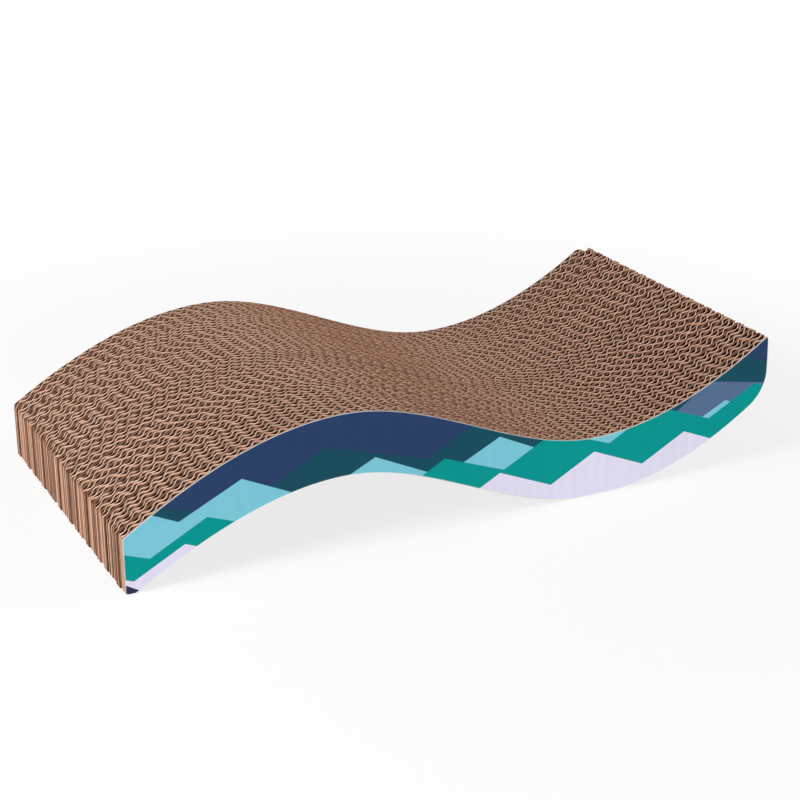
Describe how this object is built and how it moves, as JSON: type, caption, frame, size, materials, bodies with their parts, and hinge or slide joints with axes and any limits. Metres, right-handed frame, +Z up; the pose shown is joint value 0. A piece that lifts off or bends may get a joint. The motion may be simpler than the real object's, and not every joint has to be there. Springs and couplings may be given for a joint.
{
  "type": "wave cat scratcher",
  "caption": "Wave-shaped cat scratcher: a glued block of upright corrugated board strips with open cells on top and printed paper on its long sides.",
  "frame": {"origin": "on the floor under the centre of the block's bounding box", "axes": "+X along the length towards the raised end, +Y across the stack away from the front sheet, +Z up"},
  "size_m": [0.4442, 0.2306, 0.0878],
  "materials": {
    "kraft_board": "matte",
    "printed_paper": "satin"
  },
  "bodies": {
    "root": {"printed_sheet_front": "printed_paper", "corrugated_strip_01": "kraft_board", "corrugated_strip_02": "kraft_board", "corrugated_strip_03": "kraft_board", "corrugated_strip_04": "kraft_board", "corrugated_strip_05": "kraft_board", "corrugated_strip_06": "kraft_board", "corrugated_strip_07": "kraft_board", "corrugated_strip_08": "kraft_board", "corrugated_strip_09": "kraft_board", "corrugated_strip_10": "kraft_board", "corrugated_strip_11": "kraft_board", "corrugated_strip_12": "kraft_board", "corrugated_strip_13": "kraft_board", "corrugated_strip_14": "kraft_board", "corrugated_strip_15": "kraft_board", "corrugated_strip_16": "kraft_board", "corrugated_strip_17": "kraft_board", "corrugated_strip_18": "kraft_board", "corrugated_strip_19": "kraft_board", "corrugated_strip_20": "kraft_board", "corrugated_strip_21": "kraft_board", "corrugated_strip_22": "kraft_board", "corrugated_strip_23": "kraft_board", "corrugated_strip_24": "kraft_board", "corrugated_strip_25": "kraft_board", "corrugated_strip_26": "kraft_board", "corrugated_strip_27": "kraft_board", "corrugated_strip_28": "kraft_board", "corrugated_strip_29": "kraft_board", "corrugated_strip_30": "kraft_board", "corrugated_strip_31": "kraft_board", "corrugated_strip_32": "kraft_board", "corrugated_strip_33": "kraft_board", "corrugated_strip_34": "kraft_board", "corrugated_strip_35": "kraft_board", "corrugated_strip_36": "kraft_board", "corrugated_strip_37": "kraft_board", "corrugated_strip_38": "kraft_board", "corrugated_strip_39": "kraft_board", "corrugated_strip_40": "kraft_board", "corrugated_strip_41": "kraft_board", "corrugated_strip_42": "kraft_board", "corrugated_strip_43": "kraft_board", "corrugated_strip_44": "kraft_board", "corrugated_strip_45": "kraft_board", "corrugated_strip_46": "kraft_board", "corrugated_strip_47": "kraft_board", "corrugated_strip_48": "kraft_board", "corrugated_strip_49": "kraft_board", "corrugated_strip_50": "kraft_board", "corrugated_strip_51": "kraft_board", "printed_sheet_back": "printed_paper"}
  },
  "joints": []
}
